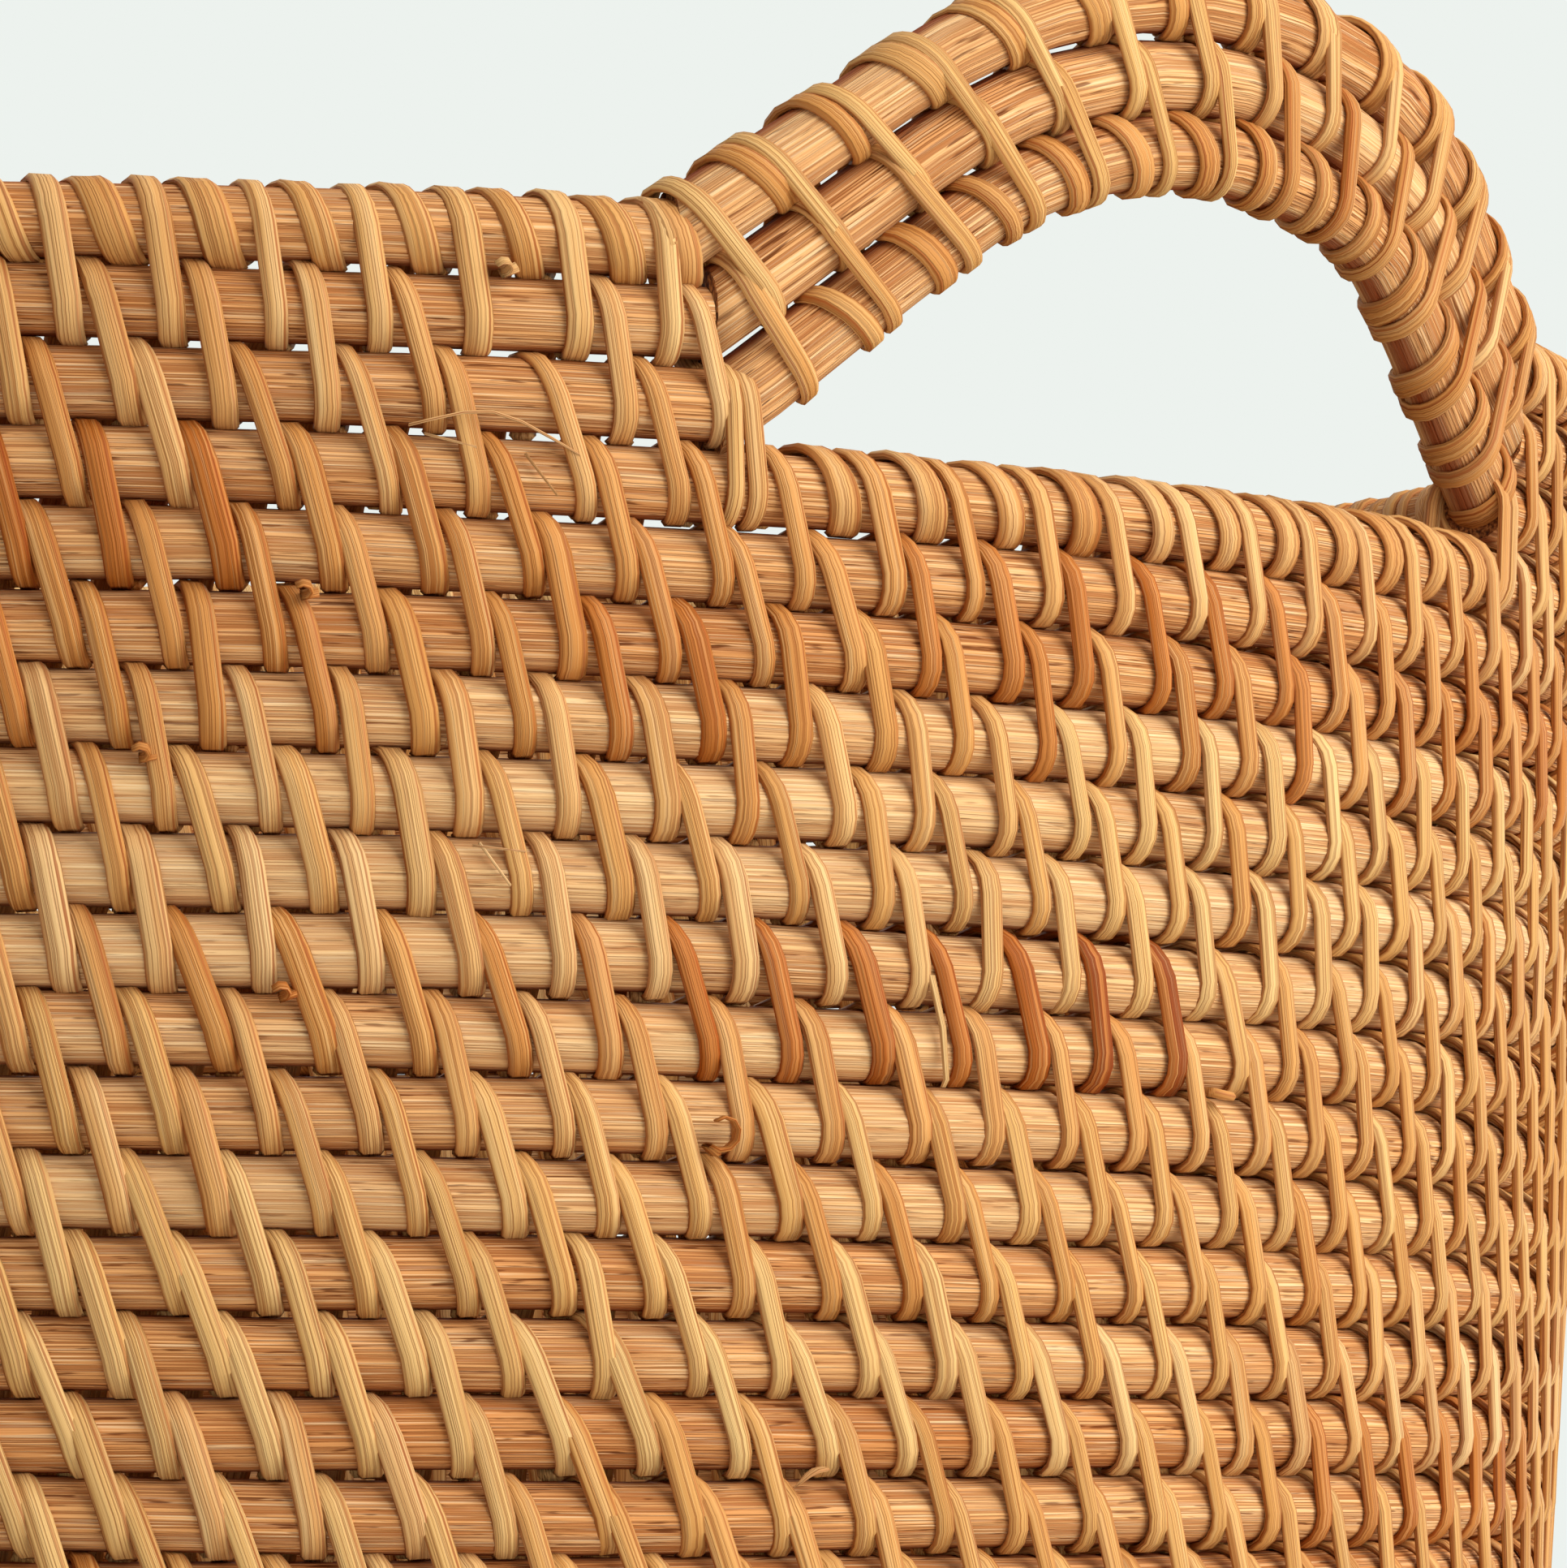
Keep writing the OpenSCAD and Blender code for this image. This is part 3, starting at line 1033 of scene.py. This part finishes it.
def strip_tone(row, azimuth, tone):
    """The tone that a strip has here, where one was chosen."""
    degrees = (azimuth * 180 / pi + 180) % 360 - 180
    for low, high, chosen in CHOSEN_STRIPS.get(row, ()):
        if low < degrees < high:
            return within(chosen + OWN_SHARE * (tone - USUAL_TONE))
    return tone


def left_out(row, azimuth):
    """True where a row lacks this stitch."""
    return any(abs(azimuth - radians(bare)) < STITCH_A / 2 for bare in BARE_SPOTS.get(row, ()))


def lash_row(name, row, keep=lambda azimuth: True, kinds=doubles, h=None, extra=()):
    """Lashes a course to the one below it, loose ends and all.

    Extra stitches are given by azimuth and kind.
    """
    h = -(row - 0.5) * PITCH if h is None else h
    r = wall_r(h)
    spots = []
    lean = ROW_LEAN.get(row, chance.normal(0, LEAN_SPREAD))
    for azimuth, (tone, along) in zip(row_azimuths(row), strips(STITCHES)):
        if keep(azimuth):
            tone = strip_tone(row, azimuth, tone)
            place = jog(on_front(azimuth) * r) @ leaned(lean)
            spots.append((None if left_out(row, azimuth) else place, tone, along, None))
    for azimuth, kind in extra:
        spots.append((jog(on_front(azimuth) * r), ADDED_TONE, chance.random(), kind))
    for course, azimuth, kind, tilt, tone in LOOSE_ENDS:
        if int(course) == row:
            place = Matrix.Translation((on_front(radians(azimuth)) * r, -OUT, (row + 0.5 - course) * PITCH))
            turned = place @ Matrix.Rotation(-radians(tilt), 4, "Y")
            spots.append((turned, tone, chance.random(), loose_kinds[kind]))
    return round_wall(lay(name, kinds, spots), h)


def joint_turn(course):
    """Turns a hoop until its butt joint lies under a stitch, on from the last hoop's joint."""
    first = row_azimuths(min(course, LAST))[0] - STITCH_SETBACK / wall_r(course_h(course))
    behind = JOINT_STEP * course + pi / 2
    return first + round((behind - first) / STITCH_A) * STITCH_A - pi / 2


# ---------- the rods ----------

for course in range(1, WHOLE):
    for side, turn in (("front", 0.0), ("back", pi)):
        node = f"rim_rod_{course}_{side}"
        pieces[node] = rim_rod(node, course, turn)
for course in range(WHOLE, COURSES):
    node = f"wall_hoop_{course}"
    pieces[node] = hoop(node, course, joint_turn(course))
pieces["foot_hoop"] = hoop("foot_hoop", COURSES, joint_turn(COURSES))
for side, turn in HANDLES:
    for place, rod in enumerate(("outer", "middle", "inner")):
        node = f"handle_{side}_{rod}"
        pieces[node] = handle_rod(node, place, turn)


# ---------- the wall's cane ----------

# Angle from a handle's middle to the foot of each of its rods
FEET = [foot_s(place) / RIM_R for place in range(3)]


def past_foot(angle):
    """Keeps what is further than this from the middle of a handle."""
    return lambda azimuth: off_handle(azimuth) > angle


def at_feet(angle, kind):
    """The same stitch at all four feet."""
    return [(turn + side * angle, kind) for turn in (0, pi) for side in (-1, 1)]


pieces["rim_binding"] = lash_row(
    "rim_binding",
    RIM_BINDING_ROW,
    keep=past_foot(FEET[0] + 0.3 * STITCH_A),
    kinds=singles,
    h=0.0,
    extra=at_feet(FEET[0] - 0.03 * STITCH_A, singles[-1]),
)
rim_rows = [
    lash_row("rim_row_1", 1, keep=past_foot(FEET[0] + 0.05 * STITCH_A), kinds=rim_doubles),
    lash_row("rim_row_2", 2, keep=past_foot(FEET[1]), kinds=rim_doubles),
    lash_row(
        "rim_row_3",
        3,
        keep=past_foot(FEET[2] + 0.7 * STITCH_A),
        kinds=rim_doubles,
        extra=at_feet(FEET[2] + radians(0.55), narrow_doubles[0])
        + at_feet(FEET[2] - radians(0.15), narrow_doubles[1]),
    ),
]
pieces["rim_lashing"] = join("rim_lashing", rim_rows)
for number, band in enumerate(WALL_BANDS):
    first = WHOLE + number * BAND_ROWS
    rows = [lash_row(f"wall_row_{row}", row) for row in range(first, first + BAND_ROWS)]
    pieces[f"wall_lashing_{band}"] = join(f"wall_lashing_{band}", rows)
pieces["hand_hole_binding"] = lash_row(
    "hand_hole_binding",
    HAND_HOLE_ROW,
    keep=lambda azimuth: off_handle(azimuth) < FEET[2] - 0.5 * STITCH_A,
    kinds=singles,
    h=course_h(WHOLE),
)


# ---------- the handles' cane ----------

HANDLE_STITCH_L = 12.6 * MM
handle_doubles = samples("handle_double", HANDLE_PITCH, 0.88 * CANE_W, HANDLE_STITCH_L, FINE, HANDLE_ROD_R)
outer_singles = samples("outer_single", 0, 0.8 * WIDE_W, HANDLE_STITCH_L, FINE, HANDLE_ROD_R)
inner_singles = samples("inner_single", 0, 0.88 * WIDE_W, HANDLE_STITCH_L, FINE, HANDLE_ROD_R)
# More stitches than any of the rows has
HANDLE_STRIPS = 40
# No stitch is nearer than this to the end of a leg
FOOT_CLEAR = 1 * MM
# The cane here is darker than on the wall
HANDLE_DARKER = 0.06
# The lower double row leans by up to this much at a handle's left foot
FOOT_LEAN = 0.32
# Kinds, first stitch, spacing, height and rod of each row, for the two works of a handle
HANDLE_WORKS = {
    "lashing": (
        (handle_doubles, -81.5 * MM, 12.5 * MM, HANDLE_PITCH / 2, 0),
        (handle_doubles, -81.3 * MM, 13.3 * MM, -HANDLE_PITCH / 2, 1),
    ),
    "binding": (
        (outer_singles, -72.9 * MM, 12.6 * MM, HANDLE_PITCH, 0),
        (inner_singles, -71.3 * MM, 13.2 * MM, -HANDLE_PITCH, 2),
    ),
}


def handle_row(name, kinds, first, spacing, z, place):
    """A straight row along a handle, whose first stitch lies at first.

    The two lower rows are put on upside down, so that each turn starts out of sight.
    """
    spots = []
    over = Matrix.Rotation(pi if place else 0.0, 4, "Y")
    reach = BEND_U + leg_length(place) - FOOT_CLEAR
    for number, (tone, along) in enumerate(strips(HANDLE_STRIPS)):
        u = first + number * spacing
        if abs(u) < reach:
            near_foot = max(0.0, -u - BEND_U) / leg_length(0) if place == 1 else 0.0
            spot = jog(u, z) @ over @ leaned(FOOT_LEAN * near_foot**2)
            spots.append((spot, tone + HANDLE_DARKER, along, None))
    return lay(name, kinds, spots)


for side, turn in HANDLES:
    for work, layout in HANDLE_WORKS.items():
        node = f"handle_{side}_{work}"
        rows = [handle_row(f"{node}_{number}", *row) for number, row in enumerate(layout)]
        pieces[node] = round_handle(arch(shape_by_hand(join(node, rows))), turn)


# ---------- the base's cane ----------

FOOT_R = wall_r(course_h(COURSES))
FOOT_Z = wall_z(course_h(COURSES))
# Cane round the base's rods comes down to a hair above the ground
BASE_SEAT_R = FOOT_Z - 0.55 * CANE_T
# Half turns from the foot hoop in to the coil's end, each half a course nearer the middle
HALF_TURNS = floor((FOOT_R - 1.04 * ROD_R) / (PITCH / 2))
# Azimuth at which the coil's outer end has tapered off
TIP_A = 2 * pi - 1.12
BASE_STITCH_L = 12 * MM
EDGE_STITCHES = 96
EDGE_STITCH_L = 3 * MM
# Turns a stitch from rods that lie one above the other to rods that lie side by side
LYING = Matrix.Rotation(pi / 2, 4, "X")
base_kinds = [
    winding(f"base_{n}", PITCH, CANE_W * (0.9 + 0.1 * n), BASE_STITCH_L, seat_r=BASE_SEAT_R) for n in range(3)
]


def half_turn(number):
    """Radius, shift along x and turn of a half turn of the base coil."""
    odd = number % 2 == 1
    return FOOT_R - number * PITCH / 2, PITCH / 2 if odd else 0.0, 0.0 if odd else pi


def base_row(number):
    """Lashes a half turn of the base coil to the turn inside it."""
    coil_r, shift_x, turn = half_turn(number)
    row_r = coil_r - PITCH / 2
    count = int(pi * row_r / BASE_STITCH_L)
    step = pi * row_r / count
    spots = [
        (jog((n + 0.5 - count / 2) * step) @ LYING, tone, along, None)
        for n, (tone, along) in enumerate(strips(count))
    ]
    row = bend_round(lay(f"base_row_{number}", base_kinds, spots), row_r)
    return move(row, Matrix.Translation((shift_x, 0, FOOT_Z)) @ Matrix.Rotation(turn, 4, "Z"))


def edge_spacing(azimuth):
    """Distance from the foot hoop to the nearest turn of the base coil."""
    if azimuth < pi:
        return PITCH
    turns = 1 if azimuth < TIP_A else 3
    return (turns - cos(azimuth)) * PITCH / 2


def put_away(kinds):
    """Removes cane that was only made to be copied."""
    for kind in kinds:
        bpy.data.objects.remove(kind)


def base_edge():
    """Lashes the foot hoop to the base coil, with one kind of stitch for each millimetre between."""
    kinds = {}
    spots = []
    for number, (tone, along) in enumerate(strips(EDGE_STITCHES)):
        azimuth = (number + 0.5) * 2 * pi / EDGE_STITCHES
        spacing = round(edge_spacing(azimuth) / MM) * MM
        if spacing not in kinds:
            name = f"edge_{spacing / MM:.0f}"
            kinds[spacing] = winding(name, spacing, CANE_W, EDGE_STITCH_L, seat_r=BASE_SEAT_R)
        spot = Matrix.Rotation(azimuth + pi / 2, 4, "Z")
        spot = spot @ Matrix.Translation((0, -FOOT_R + spacing / 2, FOOT_Z)) @ LYING
        spots.append((spot, tone, along, kinds[spacing]))
    piece = lay("base_edge_lashing", [], spots)
    put_away(kinds.values())
    return piece


# The edge takes in the coil's tapered outer end, and the last turns are too tight to lash
pieces["base_lashing"] = join("base_lashing", [base_row(number) for number in range(2, HALF_TURNS - 2)])
pieces["base_edge_lashing"] = base_edge()
for made in (doubles, rim_doubles, narrow_doubles, singles, loose_kinds.values()):
    put_away(made)
for made in (handle_doubles, outer_singles, inner_singles, base_kinds):
    put_away(made)


# ---------- what each piece stands for ----------

for node in ("foot_hoop", "base_lashing", "base_edge_lashing", "wall_lashing_lower"):
    stand_flat(pieces[node])
for node, piece in pieces.items():
    rods = node in rods_made
    if not rods:
        piece.data.materials.clear()
        piece.data.materials.append(cane_finish)
    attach(piece, "root")
    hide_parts(node)
coil = frame["nodes"]["base_coil"]
coil.data.materials.clear()
coil.data.materials.append(coil_finish())


# ---------- camera, light and ground ----------

# Where the camera stands, how far it is turned aside and tipped up, and its lens
CAMERA_R = 1.1146
CAMERA_Z = 0.1475
TURNED_ASIDE = 0.0929
TIPPED_UP = 0.0843
LENS = 175.9
FILM = 36
# Height of the middle of the basket, which the lamps face
MIDDLE_Z = 0.15
FLOOR_R = 3
# Strength of the sky that lights the basket
SKY_LIGHT = 0.535


def set_camera():
    """A long lens, about level with the middle of the basket and tipped up a little."""
    place = (CAMERA_R * cos(FRONT_A), CAMERA_R * sin(FRONT_A), CAMERA_Z)
    bpy.ops.object.camera_add(location=place)
    camera = bpy.context.object
    camera.name = "camera"
    camera.rotation_euler = (pi / 2 + TIPPED_UP, 0, FRONT_A + pi / 2 - TURNED_ASIDE)
    camera.data.lens = LENS
    camera.data.sensor_width = FILM
    camera.data.clip_start = 10 * MM
    bpy.context.scene.camera = camera


def lay_floor():
    """A wide pale disc that the basket stands on."""
    bpy.ops.mesh.primitive_circle_add(vertices=96, radius=FLOOR_R, fill_type="NGON", location=(0, 0, 0))
    floor_disc = bpy.context.object
    floor_disc.name = "floor"
    pale, wire = finish_named("pale_floor")
    mottle = wire.node("ShaderNodeTexCoord", output="Object").noise(3, 3, 3)
    surface(wire, {"Roughness": 0.9}, Base_Color=mottle.blend(shade(226, 230, 227), shade(230, 234, 231)))
    floor_disc.data.materials.append(pale)


def lamp(name, azimuth, height, away, size, power):
    """A soft square light that faces the middle of the basket."""
    place = (away * cos(azimuth), away * sin(azimuth), height)
    bpy.ops.object.light_add(type="AREA", location=place)
    light = bpy.context.object
    light.name = name
    light.data.size = size
    light.data.energy = power
    light.rotation_euler = (atan2(away, height - MIDDLE_Z), 0, azimuth + pi / 2)


def set_sky():
    """A white sky that lights the basket, and is seen behind it as a pale backdrop."""
    world = bpy.data.worlds.new("studio")
    bpy.context.scene.world = world
    world.use_nodes = True
    world.node_tree.nodes.clear()
    air = Wire(world.node_tree)
    kinds = ("Camera", "Glossy", "Transmission")
    camera, glossy, passing = (air.node("ShaderNodeLightPath", output=f"Is {kind} Ray") for kind in kinds)
    seen = camera.sum("MAXIMUM", camera.sum("MAXIMUM", camera, glossy), passing)
    glow = air.node("ShaderNodeBackground", None, {"Color": (1, 1, 1, 1), "Strength": SKY_LIGHT})
    shown = air.node("ShaderNodeBackground", None, {"Color": shade(237, 242, 238), "Strength": 1.0})
    both = air.node("ShaderNodeMixShader", None, {0: seen, 1: glow, 2: shown})
    air.node("ShaderNodeOutputWorld", None, {"Surface": both})


deselect()
set_camera()
lay_floor()
lamp("key", FRONT_A + radians(52), 1.1, 1.6, 1.8, 36)
lamp("side", FRONT_A + radians(85), 0.5, 1.7, 1.6, 8)
set_sky()
bpy.context.scene.view_settings.view_transform = "Standard"
